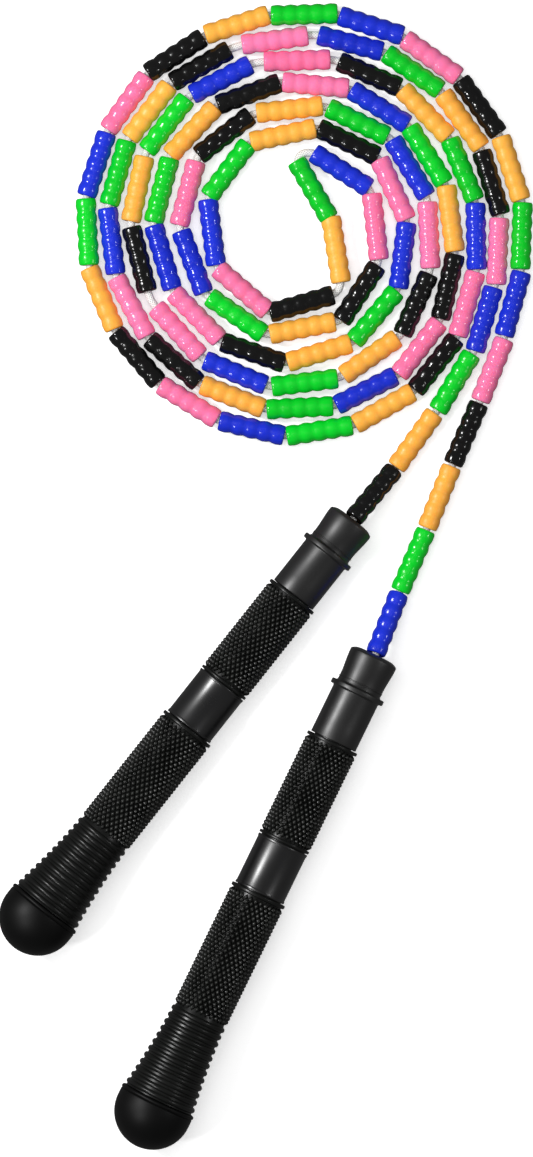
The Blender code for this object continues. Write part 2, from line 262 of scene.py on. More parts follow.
def settle(beads, rounds, clearance):
    """Beads that would overlap push each other apart along the floor, as they do when the rope is laid."""
    numbers = range(1, BEAD_COUNT + 1)
    ends = np.array([np.stack(beads[n])[:, :2] for n in numbers])
    fixed = np.array([n < 6 or n > 92 for n in numbers])
    rest_gaps = np.linalg.norm(ends[1:, 0] - ends[:-1, 1], axis=1)
    middles = ends.mean(axis=1)
    apart = np.linalg.norm(middles[:, None] - middles[None], axis=2)
    pairs = [(a, b) for a, b in np.argwhere(apart < BEAD_LENGTH + 2 * clearance) if abs(a - b) > 1]
    home = ends.copy()
    for _ in range(rounds):
        ends += (home - ends) * HOLD * ~fixed[:, None, None]
        for near, far in pairs:
            line = ends[far, 1] - ends[far, 0]
            for end in (0, 1):
                share = np.clip((ends[near, end] - ends[far, 0]) @ line / (line @ line), 0, 1)
                away = ends[near, end] - ends[far, 0] - share * line
                distance = math.hypot(*away)
                if distance >= clearance:
                    continue
                push = away / distance * (clearance - distance) / 2
                ends[near, end] += push * (not fixed[near])
                ends[far, 0] -= push * (1 - share) * (not fixed[far])
                ends[far, 1] -= push * share * (not fixed[far])
        for n in range(BEAD_COUNT):
            if not fixed[n]:
                middle, line = ends[n].mean(0), ends[n, 1] - ends[n, 0]
                half = line / np.linalg.norm(line) * BEAD_LENGTH / 2
                ends[n] = (middle - half, middle + half)
            if n + 1 < BEAD_COUNT:
                cord = ends[n + 1, 0] - ends[n, 1]
                stretch = cord * (1 - rest_gaps[n] / np.linalg.norm(cord)) / 2
                ends[n] += stretch * (not fixed[n])
                ends[n + 1] -= stretch * (not fixed[n + 1])
    free = [n for n in numbers if not fixed[n - 1]]
    return {n: tuple(np.array((*end, LYING_HEIGHT)) for end in ends[n - 1]) for n in free}


beads.update(settle(beads, SETTLE_ROUNDS, 2 * BEAD_RADIUS + CLEARANCE))

# ---------------------------------------------------------------------------------------------------------
# The cord itself: one length of white polypropylene braid, 3 mm thick, 16 strands plaited over each other.
# It runs from the knot in the left nose, through all the beads, to the knot in the right nose. It is limp:
# it bends softly wherever two beads leave it free, and lies straight inside them.
CORD_SIDES = 16
CORD_STRANDS = 16
CORD_STEP = 1.5
KNOT_START = 10.1  # station inside the nose, measured from its tip, where the knot begins
NOSE_LEAD = 0.6
FINE_SPACING = 0.5
SMOOTHING = 6.0  # the cord's play in the beads' bores rounds its bends off over this length
BRAID_PITCH = 9.0  # one strand's full turn; drawn a little coarse, so that it shows


def handle_place(side):
    """The tip of a handle's nose and the direction from the nose to the pommel."""
    joint = next(j for j in frame["joints"] if j["name"] == side + "_handle_swivel")
    return np.array(joint["pos_m"]) / MM, np.array(joint["axis"])


def inside_nose(side):
    """The cord's straight stretch from its knot to where it leaves the nose."""
    tip, along = handle_place(side)
    return [tip + along * station for station in (KNOT_START, KNOT_START / 2, 0.0, -NOSE_LEAD)]


def cord_route(spacing):
    """The cord from the left knot to the right one: straight through each bead, softly bent to the next."""
    route = inside_nose("left")
    for number in range(BEAD_COUNT, 0, -1):
        far, near = beads[number]
        route += [near, far]
        if number > 1:
            ahead = beads[number - 1][1]
            reach = np.linalg.norm(ahead - far)
            leave = (far - near) / BEAD_LENGTH
            arrive = (beads[number - 1][0] - ahead) / BEAD_LENGTH
            for t in (0.2, 0.4, 0.6, 0.8):
                route.append(
                    far * (2 * t**3 - 3 * t**2 + 1) + leave * reach * (t**3 - 2 * t**2 + t)
                    + ahead * (3 * t**2 - 2 * t**3) + arrive * reach * (t**3 - t**2)
                )
    route = np.array(route + inside_nose("right")[::-1])
    travelled = np.concatenate([[0], np.cumsum(np.linalg.norm(np.diff(route, axis=0), axis=1))])
    stations = np.arange(0, travelled[-1], FINE_SPACING)
    route = np.stack([np.interp(stations, travelled, route[:, axis]) for axis in range(3)], axis=1)
    reach = int(SMOOTHING / FINE_SPACING / 2)
    padded = np.concatenate([
        route[0] + (route[0] - route[1]) * np.arange(reach, 0, -1)[:, None],
        route,
        route[-1] + (route[-1] - route[-2]) * np.arange(1, reach + 1)[:, None],
    ])
    window = np.ones(2 * reach + 1) / (2 * reach + 1)
    route = np.stack([np.convolve(padded[:, axis], window, "valid") for axis in range(3)], axis=1)
    return route[:: round(spacing / FINE_SPACING)]


def new_tree(name, sockets):
    """An empty Geometry Nodes tree with its named inputs. Its geometry input comes first."""
    tree = bpy.data.node_groups.new(name, "GeometryNodeTree")
    tree.interface.new_socket("Geometry", in_out="INPUT", socket_type="NodeSocketGeometry")
    for label, kind in sockets.items():
        tree.interface.new_socket(label, in_out="INPUT", socket_type="NodeSocket" + kind)
    tree.interface.new_socket("Geometry", in_out="OUTPUT", socket_type="NodeSocketGeometry")
    return tree, tree.nodes.new("NodeGroupInput").outputs


def finish_tree(tree, geometry, material):
    """Ends a tree: real geometry, smooth, in its material."""
    real = add_node(tree, "GeometryNodeRealizeInstances", {"Geometry": geometry})
    soft = add_node(tree, "GeometryNodeSetShadeSmooth", {"Geometry": real.outputs["Geometry"]})
    painted = add_node(
        tree, "GeometryNodeSetMaterial", {"Geometry": soft.outputs["Geometry"], "Material": material}
    )
    add_node(tree, "NodeGroupOutput", {"Geometry": painted.outputs["Geometry"]})


def grow(name, base, tree, values):
    """Runs a tree on a base mesh or curve, and keeps the result as a plain mesh at the origin."""
    seed = add_object(name + "_seed", base)
    modifier = seed.modifiers.new("nodes", "NODES")
    modifier.node_group = tree
    for item in tree.interface.items_tree:
        if item.name in values:
            modifier[item.identifier] = values[item.name]
    bpy.context.view_layer.update()
    evaluated = seed.evaluated_get(bpy.context.evaluated_depsgraph_get())
    mesh = bpy.data.meshes.new_from_object(evaluated)
    mesh.name = name
    bpy.data.objects.remove(seed)
    return add_object(name, mesh)


# Braided polypropylene: white and softly shiny, a herringbone of strands with painted shade as a darker line
# in the grooves between them
cord_white, nodes, shader = new_material("polypropylene_braid", "#f3f3f0", 0.55, Sheen_Weight=0.25)
round_cord = add_node(nodes, "ShaderNodeAttribute", attribute_name="round_cord")
along_cord = add_node(nodes, "ShaderNodeAttribute", attribute_name="along_cord")
halves = add_node(nodes, "ShaderNodeSeparateXYZ", {"Vector": round_cord.outputs["Vector"]})
angle = add_node(
    nodes, "ShaderNodeMath", {0: halves.outputs["Y"], 1: halves.outputs["X"]}, operation="ARCTAN2"
)
twist_in_metre = math.tau / (BRAID_PITCH * MM)
twist = add_node(
    nodes, "ShaderNodeMath", {0: along_cord.outputs["Fac"], 1: twist_in_metre}, operation="MULTIPLY"
)
braid = []
for hand in (1, -1):
    phase = add_node(
        nodes, "ShaderNodeMath", {0: angle.outputs[0], 1: hand, 2: twist.outputs[0]}, operation="MULTIPLY_ADD"
    )
    strands = add_node(
        nodes, "ShaderNodeMath", {0: phase.outputs[0], 1: CORD_STRANDS / 2}, operation="MULTIPLY"
    )
    braid.append(add_node(nodes, "ShaderNodeMath", {0: strands.outputs[0]}, operation="SINE"))
plait = add_node(
    nodes, "ShaderNodeMath", {0: braid[0].outputs[0], 1: braid[1].outputs[0]}, operation="MAXIMUM"
)
# The ramp's grey end is painted shade in the grooves between the strands
shade = add_node(nodes, "ShaderNodeValToRGB", {"Fac": plait.outputs[0]})
shade.color_ramp.elements[0].position = 0.0
shade.color_ramp.elements[0].color = linear("#c4c3bd")
shade.color_ramp.elements[1].position = 0.5
shade.color_ramp.elements[1].color = linear("#f6f6f4")
bump = add_node(nodes, "ShaderNodeBump", {"Height": plait.outputs[0], "Strength": 0.5, "Distance": 0.0002})
nodes.links.new(shade.outputs["Color"], shader.inputs["Base Color"])
nodes.links.new(bump.outputs["Normal"], shader.inputs["Normal"])

# A tube swept along the route. Each point keeps how far round and along the cord it lies, for the plait.
tree, given = new_tree("braided_cord", {"Thickness": "Float", "Sides": "Int", "Material": "Material"})
travelled = add_node(
    tree,
    "GeometryNodeStoreNamedAttribute",
    {
        "Geometry": given["Geometry"],
        "Name": "along_cord",
        "Value": add_node(tree, "GeometryNodeSplineParameter").outputs["Length"],
    },
)
half_thickness = add_node(tree, "ShaderNodeMath", {0: given["Thickness"], 1: 0.5}, operation="MULTIPLY")
section = add_node(
    tree,
    "GeometryNodeCurvePrimitiveCircle",
    {"Resolution": given["Sides"], "Radius": half_thickness.outputs[0]},
)
unit = add_node(
    tree,
    "ShaderNodeVectorMath",
    {0: add_node(tree, "GeometryNodeInputPosition").outputs["Position"]},
    operation="NORMALIZE",
)
section = add_node(
    tree,
    "GeometryNodeStoreNamedAttribute",
    {"Geometry": section.outputs["Curve"], "Name": "round_cord"},
    data_type="FLOAT_VECTOR",
)
tree.links.new(unit.outputs["Vector"], section.inputs["Value"])
tube = add_node(
    tree,
    "GeometryNodeCurveToMesh",
    {"Curve": travelled.outputs["Geometry"], "Profile Curve": section.outputs["Geometry"], "Fill Caps": True},
)
finish_tree(tree, tube.outputs["Mesh"], given["Material"])

route = cord_route(CORD_STEP) * MM
line = bpy.data.curves.new("cord_line", "CURVE")
line.dimensions = "3D"
spline = line.splines.new("POLY")
spline.points.add(len(route) - 1)
for point, place in zip(spline.points, route):
    point.co = (*place, 1.0)
white_cord = grow(
    "white_cord", line, tree, {"Thickness": CORD_DIAMETER * MM, "Sides": CORD_SIDES, "Material": cord_white}
)
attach(white_cord, "rope")
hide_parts("rope_coil", "left_cord_run", "right_cord_run")

# ---------------------------------------------------------------------------------------------------------
# The beads: 94 stiff tubes of soft plastic, 25.4 mm long, injection moulded with five rounded lobes. Each
# hangs loose on the cord. The colours repeat in the order blue, green, orange, black, pink from the right
# handle. Those in the coil lie still with it; the seven on the free runs turn on the cord by themselves.
LOBES = 5
LOBE_DIAMETER = 8.0
WAIST_DIAMETER = 6.95
END_DIAMETER = 6.3
END_ROUNDING = 1.0
BORE_DIAMETER = 4.9
BEAD_SEGMENTS = 24
LOBE_STEPS = 6
LOBE_FULLNESS = 1.15  # 1 swells as a sine; more is slimmer at the waist
RIM_FULLNESS = 0.7  # the least share of the way from waist to lobe that an end lobe keeps, out to the rim
SHARP_ANGLE = math.radians(38)


def lathe(name, profile, segments, material):
    """A part turned about local Z. The profile lists (station, radius) in mm once round its closed section;
    one that touches the axis starts and ends on it."""
    shape = bmesh.new()
    points = [shape.verts.new((radius * MM, 0.0, station * MM)) for station, radius in profile]
    edges = [shape.edges.new(pair) for pair in zip(points, points[1:])]
    if profile[0][1] > 0:
        edges.append(shape.edges.new((points[-1], points[0])))
    bmesh.ops.spin(
        shape,
        geom=points + edges,
        cent=(0, 0, 0),
        axis=(0, 0, 1),
        angle=math.tau,
        steps=segments,
        use_merge=True,
    )
    bmesh.ops.remove_doubles(shape, verts=shape.verts, dist=1e-7)
    bmesh.ops.recalc_face_normals(shape, faces=shape.faces)
    mesh = bpy.data.meshes.new(name)
    shape.to_mesh(mesh)
    shape.free()
    mesh.materials.append(material)
    mesh.shade_smooth()
    mesh.set_sharp_from_angle(angle=SHARP_ANGLE)
    return mesh


def bead_profile():
    """The closed section of one bead."""
    half = BEAD_LENGTH / 2
    end, rim = END_DIAMETER / 2, []
    top = (WAIST_DIAMETER + (LOBE_DIAMETER - WAIST_DIAMETER) * RIM_FULLNESS) / 2
    for turn in (0, 25, 50, 75):
        sway = math.radians(turn)
        rim.append((END_ROUNDING * (1 - math.cos(sway)), end + (top - end) * math.sin(sway)))
    outside = []
    for step in range(1, LOBES * LOBE_STEPS):
        swell = math.sin(math.pi * (step % LOBE_STEPS) / LOBE_STEPS) ** LOBE_FULLNESS
        station = -half + step * BEAD_LENGTH / LOBES / LOBE_STEPS
        radius = (WAIST_DIAMETER + (LOBE_DIAMETER - WAIST_DIAMETER) * swell) / 2
        if abs(station) > half - BEAD_LENGTH / LOBES / 2:
            radius = max(radius, top)  # the end lobes run out full to the rims
        outside.append((station, radius))
    profile = [(-half, BORE_DIAMETER / 2)]
    profile += [(-half + depth, radius) for depth, radius in rim]
    profile += outside
    profile += [(half - depth, radius) for depth, radius in rim[::-1]]
    return profile + [(half, BORE_DIAMETER / 2)]


# Injection-moulded polyethylene: soft sheen, a little light passes through, faint flow lines and fine scuffs.
# base, tint of the flow lines, how much light passes into it, roughness
BEAD_COLOURS = {
    "blue": ("#1d34d6", "#0f21ae", 0.05, 0.17),
    "green": ("#03d42c", "#02ad1c", 0.1, 0.20),
    "orange": ("#ffb846", "#fba23c", 0.2, 0.4),
    "black": ("#0e0e0e", "#080808", 0.0, 0.16),
    "pink": ("#ff85b6", "#ff628e", 0.35, 0.16),
}
bead_materials = {}
for colour, (base, tint, glow, roughness) in BEAD_COLOURS.items():
    material, nodes, shader = new_material(
        f"moulded_polyethylene_{colour}",
        base,
        roughness,
        IOR=1.5,
        Subsurface_Weight=glow,
        Subsurface_Scale=0.002,
    )
    where = add_node(nodes, "ShaderNodeTexCoord").outputs["Object"]
    flow = add_node(nodes, "ShaderNodeTexNoise", {"Vector": where, "Scale": 260.0, "Detail": 3.0})
    grain = add_node(nodes, "ShaderNodeTexNoise", {"Vector": where, "Scale": 2600.0, "Detail": 2.0})
    tone = add_node(nodes, "ShaderNodeAttribute", attribute_name="tone")
    blend = add_node(
        nodes, "ShaderNodeMath", {0: flow.outputs["Fac"], 1: tone.outputs["Fac"]}, operation="MULTIPLY"
    )
    mixed = add_node(
        nodes,
        "ShaderNodeMix",
        {"Factor": blend.outputs[0], "A": linear(base), "B": linear(tint)},
        data_type="RGBA",
    )
    scuffs = add_node(
        nodes,
        "ShaderNodeMapRange",
        {
            "Value": flow.outputs["Fac"], "From Min": 0.3, "From Max": 0.7,
            "To Min": roughness - 0.05, "To Max": roughness + 0.08,
        },
    )
    bump = add_node(
        nodes, "ShaderNodeBump", {"Height": grain.outputs["Fac"], "Strength": 0.12, "Distance": 0.0001}
    )
    nodes.links.new(mixed.outputs["Result"], shader.inputs["Base Color"])
    nodes.links.new(scuffs.outputs["Result"], shader.inputs["Roughness"])
    nodes.links.new(bump.outputs["Normal"], shader.inputs["Normal"])
    bead_materials[colour] = material

# One bead is set on each point, turned to lie along its axis and spun at random about it.
tree, given = new_tree("threaded_beads", {"Bead": "Object", "Seed": "Int", "Material": "Material"})
axis = add_node(tree, "GeometryNodeInputNamedAttribute", {"Name": "axis"}, data_type="FLOAT_VECTOR")
lie = add_node(tree, "FunctionNodeAlignRotationToVector", {"Vector": axis.outputs[0]}, axis="Z")
spin = add_node(tree, "FunctionNodeRandomValue", {"Seed": given["Seed"]}, data_type="FLOAT_VECTOR")
spin.inputs[0].default_value = (0.0, 0.0, 0.0)
spin.inputs[1].default_value = (0.0, 0.0, math.tau)
turn = add_node(tree, "FunctionNodeEulerToRotation", {"Euler": spin.outputs[0]})
lie_spun = add_node(
    tree,
    "FunctionNodeRotateRotation",
    {"Rotation": lie.outputs["Rotation"], "Rotate By": turn.outputs["Rotation"]},
    rotation_space="LOCAL",
)
one_bead = add_node(tree, "GeometryNodeObjectInfo", {"Object": given["Bead"]})
set_out = add_node(
    tree,
    "GeometryNodeInstanceOnPoints",
    {
        "Points": given["Geometry"],
        "Instance": one_bead.outputs["Geometry"],
        "Rotation": lie_spun.outputs["Rotation"],
    },
)
shade_of = add_node(tree, "FunctionNodeRandomValue", {"Seed": given["Seed"]}, data_type="FLOAT")
shade_of.inputs[2].default_value = 0.2
shade_of.inputs[3].default_value = 1.0
toned = add_node(
    tree,
    "GeometryNodeStoreNamedAttribute",
    {"Geometry": set_out.outputs["Instances"], "Name": "tone", "Value": shade_of.outputs[1]},
    domain="INSTANCE",
)
finish_tree(tree, toned.outputs["Geometry"], given["Material"])

bead_mesh = lathe("one_bead", bead_profile(), BEAD_SEGMENTS, bead_materials["blue"])
bead_pattern = add_object("one_bead", bead_mesh)


def thread_beads(name, numbers, colour):
    """A piece made of the beads with these numbers, all of one colour."""
    points = bpy.data.meshes.new(name)
    points.from_pydata([(beads[n][0] + beads[n][1]) / 2 * MM for n in numbers], [], [])
    axes = points.attributes.new("axis", "FLOAT_VECTOR", "POINT")
    for row, n in zip(axes.data, numbers):
        row.vector = beads[n][1] - beads[n][0]
    return grow(
        name, points, tree, {"Bead": bead_pattern, "Seed": numbers[0], "Material": bead_materials[colour]}
    )


on_cord = []
for place, colour in enumerate(BEAD_COLOURS):
    numbers = [n for n in range(6, BEAD_COUNT - 1) if (n - 1) % len(BEAD_COLOURS) == place]
    piece = thread_beads("coil_beads_" + colour, numbers, colour)
    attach(piece, "rope")
    on_cord.append(piece)
for side, count in (("right", 5), ("left", 2)):
    for step in range(1, count + 1):
        number = step if side == "right" else BEAD_COUNT + 1 - step
        colour = list(BEAD_COLOURS)[(number - 1) % len(BEAD_COLOURS)]
        piece = thread_beads(f"{side}_run_bead_{step}", [number], colour)
        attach(piece, f"bead_{side}_{step}")
        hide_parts(f"{side}_bead_{step}")
        on_cord.append(piece)
bpy.data.objects.remove(bead_pattern)

# ---------------------------------------------------------------------------------------------------------
# The two handles are alike, and each is built about its own axis, with its nose at the start: a station is
# the distance from the nose's tip. These two turn and place such a part.
SEAM = 0.3
ROUND = 72  # sides of a turned part


def handle_matrix(side):
    """Takes a part from its own axis to its place on the floor, with its X as near upright as it can be."""
    tip, along = handle_place(side)
    z = Vector(along).normalized()
    x = (Vector((0, 0, 1)) - z * z.z).normalized()
    turn = Matrix((x, z.cross(x), z)).transposed().to_4x4()
    return Matrix.Translation(Vector(tip) * MM) @ turn


def fit_to_handle(piece, side, slot, *nodes):
    """Puts a finished part on its handle, to turn with it."""
    piece.data.transform(handle_matrix(side))
    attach(piece, side + "_handle")
    if nodes:
        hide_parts(*nodes)


def round_corner(station, radius, reach, start, end, steps=5):
    """Points of a rounded corner about (station, radius). Angles in degrees from the pommel's direction."""
    angles = [math.radians(start + (end - start) * k / steps) for k in range(steps + 1)]
    return [(station + reach * math.cos(a), radius + reach * math.sin(a)) for a in angles]


# ---------------------------------------------------------------------------------------------------------
# The nose collar: satin black ABS, injection moulded in one piece with its flange, and pushed into the grip
# by a long spigot. A fine raised line marks the flange's front, where the two halves of the mould met.
NOSE_LENGTH = 13.8
NOSE_BULGE = 9.5
NOSE_FACE = 5.8
MOUTH_RADIUS = 5.2
LIP = 0.8  # the face bows out this far round the mouth
MOUTH_DEPTH = 1.5
NECK_RADIUS = 8.85
FLANGE_RADIUS = 10.85
FLANGE_THICKNESS = 2.0
COLLAR_LENGTH = 35.7
COLLAR_RADIUS = 9.35
BUSHING_RADIUS = 3.6
CAVITY_START = 7.0
CAVITY_RADIUS = 6.1
SPIGOT_RADIUS = 7.7
SPIGOT_LENGTH = 15.0


def collar_profile():
    seat = BUSHING_RADIUS + SEAM
    flange_end = NOSE_LENGTH + FLANGE_THICKNESS
    profile = [(MOUTH_DEPTH, seat), (MOUTH_DEPTH, MOUTH_RADIUS)]
    profile += round_corner(0.35 - LIP, MOUTH_RADIUS + 0.35, 0.35, 270, 180, 3)
    profile += [(0.03 - LIP, NOSE_FACE + 0.6), (0.14 - LIP, NOSE_FACE + 1.4), (0.34 - LIP, NOSE_FACE + 2.1)]
    profile += round_corner(0.9, NOSE_BULGE - 0.85, 0.85, 155, 95, 7)
    for step in range(13):
        share = step / 12
        ease = 0.5 - 0.5 * math.cos(math.pi * share)
        station = 1.5 + (NOSE_LENGTH - 3.2) * 0.9 * share
        profile.append((station, NOSE_BULGE + (NECK_RADIUS - NOSE_BULGE) * ease))
    line = profile[-1][0] + 0.5
    profile += [(line, NECK_RADIUS), (line + 0.15, NECK_RADIUS + 0.18), (line + 0.4, NECK_RADIUS + 0.18)]
    profile += [(line + 0.55, NECK_RADIUS + 0.02)]
    profile += round_corner(NOSE_LENGTH - 0.75, NECK_RADIUS + 0.77, 0.75, 270, 350, 5)
    profile += round_corner(NOSE_LENGTH + 0.45, FLANGE_RADIUS - 0.45, 0.45, 180, 90)
    profile += round_corner(flange_end - 0.45, FLANGE_RADIUS - 0.45, 0.45, 90, 0)
    profile += round_corner(flange_end + 0.6, COLLAR_RADIUS + 0.6, 0.6, 180, 270)
    profile += [(COLLAR_LENGTH - 6.0, COLLAR_RADIUS)]
    profile += round_corner(COLLAR_LENGTH - 0.25, COLLAR_RADIUS - 0.25, 0.25, 90, 0, 3)
    profile += [
        (COLLAR_LENGTH, SPIGOT_RADIUS),
        (COLLAR_LENGTH + SPIGOT_LENGTH - 0.5, SPIGOT_RADIUS),
        (COLLAR_LENGTH + SPIGOT_LENGTH, SPIGOT_RADIUS - 0.5),
        (COLLAR_LENGTH + SPIGOT_LENGTH, CAVITY_RADIUS),
        (CAVITY_START, CAVITY_RADIUS),
        (CAVITY_START, seat),
    ]
    return profile


def black_plastic(name, base, worn, roughness, grain_mm, depth_mm, **more):
    """A black moulded plastic: grain of the mould, and faint rubbed patches that are lighter and smoother."""
    material, nodes, shader = new_material(name, base, roughness, IOR=1.5, **more)
    where = add_node(nodes, "ShaderNodeTexCoord").outputs["Object"]
    patches = add_node(nodes, "ShaderNodeTexNoise", {"Vector": where, "Scale": 90.0, "Detail": 4.0})
    grain = add_node(nodes, "ShaderNodeTexNoise", {"Vector": where, "Scale": 1000 / grain_mm, "Detail": 2.0})
    rubbed = add_node(
        nodes, "ShaderNodeMapRange", {"Value": patches.outputs["Fac"], "From Min": 0.45, "From Max": 0.75}
    )
    mixed = add_node(
        nodes,
        "ShaderNodeMix",
        {"Factor": rubbed.outputs["Result"], "A": linear(base), "B": linear(worn)},
        data_type="RGBA",
    )
    satin = add_node(
        nodes,
        "ShaderNodeMapRange",
        {
            "Value": patches.outputs["Fac"], "From Min": 0.3, "From Max": 0.7,
            "To Min": roughness + 0.04, "To Max": roughness - 0.04,
        },
    )
    bump = add_node(
        nodes, "ShaderNodeBump", {"Height": grain.outputs["Fac"], "Strength": 0.35, "Distance": depth_mm * MM}
    )
    nodes.links.new(mixed.outputs["Result"], shader.inputs["Base Color"])
    nodes.links.new(satin.outputs["Result"], shader.inputs["Roughness"])
    nodes.links.new(bump.outputs["Normal"], shader.inputs["Normal"])
    return material


# Satin ABS: a spark-eroded mould leaves a very fine grain, so it reflects the lamps as soft grey stripes
satin_abs = black_plastic("satin_black_abs", "#111111", "#171717", 0.4, 0.5, 0.03, Specular_IOR_Level=0.85)
for side in ("left", "right"):
    piece = add_object(side + "_collar", lathe(side + "_collar", collar_profile(), ROUND, satin_abs))
    fit_to_handle(piece, side, "collar_plastic", side + "_nose_collar")

# ---------------------------------------------------------------------------------------------------------
# The grip: one hollow moulding of tough black nylon, with a recess for the band and a slow flare towards the
# pommel. The knurl and the ribs are moulded on it, and made here as pieces of their own on the plain core.
KNURL_START = 36.0
KNURL_ROOT = 9.3
KNURL_RADIUS = 10.4
BAND_START = 78.7
BAND_END = 100.0
RECESS_RADIUS = 9.1
LOWER_ROOT = 9.95
LOWER_RADIUS = 11.1
LOWER_START = 101.4
FLARE_START = 151.3
FLARE_LENGTH = 35.2
FLARE_END = 14.5
FLARE_CURVE = 1.6
BORE_RADIUS = 8.0


def flare_radius(station):
    """The ribbed end widens slowly at first, then faster."""
    share = max(0.0, (station - FLARE_START) / FLARE_LENGTH)
    return LOWER_RADIUS + (FLARE_END - LOWER_RADIUS) * share**FLARE_CURVE


def grip_profile():
    flare_end = FLARE_START + FLARE_LENGTH
    profile = [(KNURL_START, BORE_RADIUS), (KNURL_START, KNURL_RADIUS - 0.5)]
    profile += round_corner(KNURL_START + 0.3, KNURL_RADIUS - 0.3, 0.3, 180, 90, 3)
    profile += round_corner(KNURL_START + 1.0, KNURL_RADIUS - 0.3, 0.3, 90, 0, 3)
    profile += [(KNURL_START + 1.4, KNURL_ROOT), (BAND_START - 1.3, KNURL_ROOT)]
    profile += round_corner(BAND_START - 0.9, KNURL_RADIUS - 0.35, 0.3, 180, 90, 3)
    profile += round_corner(BAND_START - 0.4, KNURL_RADIUS - 0.35, 0.3, 90, 0, 3)
    profile += [(BAND_START, RECESS_RADIUS), (BAND_END, RECESS_RADIUS), (BAND_END, LOWER_RADIUS - 0.5)]
    profile += round_corner(BAND_END + 0.4, LOWER_RADIUS - 0.4, 0.4, 180, 90, 4)
    profile += round_corner(LOWER_START - 0.4, LOWER_RADIUS - 0.4, 0.4, 90, 0, 4)
    profile += [(LOWER_START + 0.2, LOWER_ROOT), (FLARE_START - 0.6, LOWER_ROOT)]
    for step in range(25):
        station = FLARE_START + FLARE_LENGTH * step / 24
        profile.append((station, flare_radius(station) - 0.9))
    return profile + [(flare_end, BORE_RADIUS)]


# Black nylon, moulded: dull, with a fine sandy grain that scatters the light
moulded_nylon = black_plastic(
    "moulded_black_nylon", "#0b0c0b", "#121312", 0.33, 0.4, 0.03, Specular_IOR_Level=0.35
)
for side in ("left", "right"):
    piece = add_object(side + "_grip", lathe(side + "_grip", grip_profile(), ROUND, moulded_nylon))
    fit_to_handle(piece, side, "grip_plastic", side + "_grip_shell")

# ---------------------------------------------------------------------------------------------------------
# The knurl: small diamond-shaped studs moulded on the grip in two zones, 3 mm apart along it, each row half a
# pitch round from the last. Their tips are painted lighter in patches, as wear and as painted highlight, and
# their feet darker, as painted shade between the studs.
KNURL_PITCH = 3.04
STUDS_ROUND = 30
STUD_HEIGHT = 1.15
STUD_SIDES = 8
# Height and size as shares of the stud's, and roundness: 1 is a diamond, 2 a circle
STUD_RINGS = [(-0.2, 1.0, 1.0), (0.3, 0.76, 1.1), (0.68, 0.48, 1.35), (0.94, 0.24, 2.0)]


def stud_mesh():
    """One stud: a diamond foot that rounds off to a blunt tip, 1 mm high, for a zone of unit pitch."""
    shape = bmesh.new()
    high = shape.verts.layers.float.new("tip")
    rings = []
    for height, size, roundness in STUD_RINGS:
        ring = []
        for corner in range(STUD_SIDES):
            turn = math.tau * corner / STUD_SIDES
            cosine, sine = math.cos(turn), math.sin(turn)
            reach = size / (abs(cosine) ** roundness + abs(sine) ** roundness) ** (1 / roundness)
            point = shape.verts.new((height, sine * reach, cosine * reach))
            point[high] = max(0.0, height)
            ring.append(point)
        rings.append(ring)
    top = shape.verts.new((1.0, 0, 0))
    top[high] = 1.0
    for lower, upper in zip(rings, rings[1:]):
        for k in range(STUD_SIDES):
            after = (k + 1) % STUD_SIDES
            shape.faces.new((lower[k], lower[after], upper[after], upper[k]))
    for k in range(STUD_SIDES):
        shape.faces.new((rings[-1][k], rings[-1][(k + 1) % STUD_SIDES], top))
    shape.faces.new(rings[0][::-1])
    bmesh.ops.recalc_face_normals(shape, faces=shape.faces)
    mesh = bpy.data.meshes.new("stud")
    shape.to_mesh(mesh)
    shape.free()
    return mesh


# Nylon as the grip. Each stud is lighter towards its tip, in patches: wear and painted highlight on the tips,
# and painted shade at the feet between the studs
stud_nylon, nodes, shader = new_material("black_nylon_tip_highlight_and_wear", "#0e0f0e", 0.3, IOR=1.5)
tip = add_node(nodes, "ShaderNodeAttribute", attribute_name="tip")
where = add_node(nodes, "ShaderNodeTexCoord").outputs["Object"]
patches = add_node(nodes, "ShaderNodeTexNoise", {"Vector": where, "Scale": 120.0, "Detail": 3.0})
tip_highlight_and_wear = add_node(
    nodes, "ShaderNodeMath", {0: tip.outputs["Fac"], 1: patches.outputs["Fac"]}, operation="MULTIPLY"
)
# Painted highlight and wear on the studs' tips, and painted shade at their feet
worn = add_node(nodes, "ShaderNodeValToRGB", {"Fac": tip_highlight_and_wear.outputs[0]})
worn.color_ramp.elements[0].position = 0.15
worn.color_ramp.elements[0].color = linear("#080908")
worn.color_ramp.elements[1].position = 0.6
worn.color_ramp.elements[1].color = linear("#2c2d2b")
grain = add_node(nodes, "ShaderNodeTexNoise", {"Vector": where, "Scale": 2500.0})
bump = add_node(
    nodes, "ShaderNodeBump", {"Height": grain.outputs["Fac"], "Strength": 0.2, "Distance": 0.00004}
)
nodes.links.new(worn.outputs["Color"], shader.inputs["Base Color"])
nodes.links.new(bump.outputs["Normal"], shader.inputs["Normal"])

# Each stud's index gives its row and its place round the grip; odd rows are moved round by half a step.
tree, given = new_tree(
    "knurl",
    {
        "Stud": "Object", "Start": "Float", "Rows": "Int", "Studs Round": "Int", "Root Radius": "Float",
        "Row Spacing": "Float", "Height": "Float", "Material": "Material",
    },
)
worked = {"index": add_node(tree, "GeometryNodeInputIndex").outputs["Index"], **{s.name: s for s in given}}
